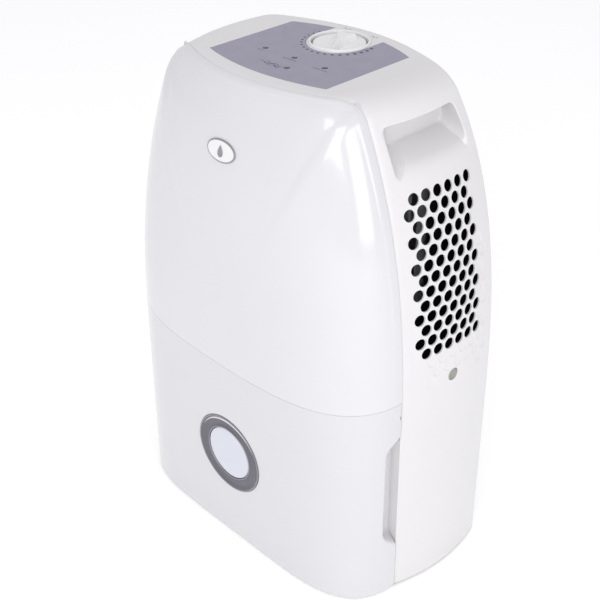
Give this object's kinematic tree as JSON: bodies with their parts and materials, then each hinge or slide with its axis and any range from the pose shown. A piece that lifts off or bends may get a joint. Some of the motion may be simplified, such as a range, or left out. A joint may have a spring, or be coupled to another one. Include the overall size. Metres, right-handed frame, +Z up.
{
  "type": "dehumidifier",
  "caption": "Tall domed compressor dehumidifier with a pull-out water tank, round level window, top humidity dial and perforated side outlet.",
  "frame": {"origin": "middle of the footprint, on the floor", "axes": "+Z up, the front faces -Y, +X is to the right as seen from the front"},
  "size_m": [0.3646, 0.201, 0.5056],
  "materials": {
    "white_plastic": "satin moulded",
    "gloss_white": "high gloss",
    "bezel_grey": "satin metallic lacquer",
    "lens_blue": "pale tinted window",
    "silver": "bright",
    "panel_grey": "fine satin",
    "lamp_dark": "unlit lamp",
    "rubber_grey": "matte",
    "dark_plastic": "matte",
    "clear_plastic": "natural translucent",
    "foam_white": "closed-cell foam",
    "steel": "plain",
    "coil_aluminium": "finned",
    "black_paint": "black enamel",
    "copper": null,
    "board_green": "solder mask"
  },
  "bodies": {
    "casing": {"badge": "silver", "base_pan": "dark_plastic", "bulkhead": "white_plastic", "capillary": "copper", "compressor": "black_paint", "compressor_foot": "steel", "compressor_mount_front": "rubber_grey", "compressor_mount_left": "rubber_grey", "compressor_mount_right": "rubber_grey", "condenser": "coil_aluminium", "control_board": "board_green", "control_panel": "panel_grey", "cover_screw_lower_left": "steel", "cover_screw_lower_right": "steel", "cover_screw_upper_left": "steel", "cover_screw_upper_right": "steel", "dial_bezel": "white_plastic", "discharge_pipe": "copper", "drip_tray": "white_plastic", "evaporator": "coil_aluminium", "fan_motor": "steel", "fan_shroud": "dark_plastic", "foot_front_left": "rubber_grey", "foot_front_right": "rubber_grey", "foot_rear_left": "rubber_grey", "foot_rear_right": "rubber_grey", "foot_side_left": "rubber_grey", "foot_side_right": "rubber_grey", "front_panel": "gloss_white", "humidistat": "dark_plastic", "led_defrost": "lamp_dark", "led_power": "lamp_dark", "led_running": "lamp_dark", "led_tank_full": "lamp_dark", "outer_housing": "white_plastic", "rear_cover": "white_plastic", "reed_switch": "dark_plastic", "run_capacitor": "steel", "suction_pipe": "copper"},
    "knob": {"control_knob": "white_plastic", "humidistat_shaft": "steel"},
    "tank": {"tank_front": "gloss_white", "water_tank": "clear_plastic", "window_bezel": "bezel_grey", "window_lens": "lens_blue", "float_pin": "white_plastic"},
    "float_body": {"float": "foam_white", "float_magnet": "steel"},
    "fan": {"fan_wheel": "dark_plastic", "fan_shaft": "steel"},
    "intake": {"intake_grille": "white_plastic", "air_filter": "dark_plastic"},
    "plug": {"drain_plug": "rubber_grey"}
  },
  "joints": [
    {"name": "knob_turn", "type": "hinge", "parent": "casing", "child": "knob", "pos_m": [0, 0.0588, 0.5], "axis": [0, 0, 1], "range_deg": [-110, 160]},
    {"name": "tank_slide", "type": "slide", "parent": "casing", "child": "tank", "axis": [0, -1, 0], "range_m": [0, 0.25]},
    {"name": "float_lift", "type": "slide", "parent": "tank", "child": "float_body", "axis": [0, 0, 1], "range_m": [0, 0.124]},
    {"name": "fan_spin", "type": "hinge", "parent": "casing", "child": "fan", "pos_m": [-0.012, 0, 0.345], "axis": [0, 1, 0], "continuous": true},
    {"name": "grille_pull", "type": "slide", "parent": "casing", "child": "intake", "axis": [0, 1, 0], "range_m": [0, 0.08]},
    {"name": "plug_pull", "type": "slide", "parent": "casing", "child": "plug", "axis": [1, 0, 0], "range_m": [0, 0.03]}
  ]
}
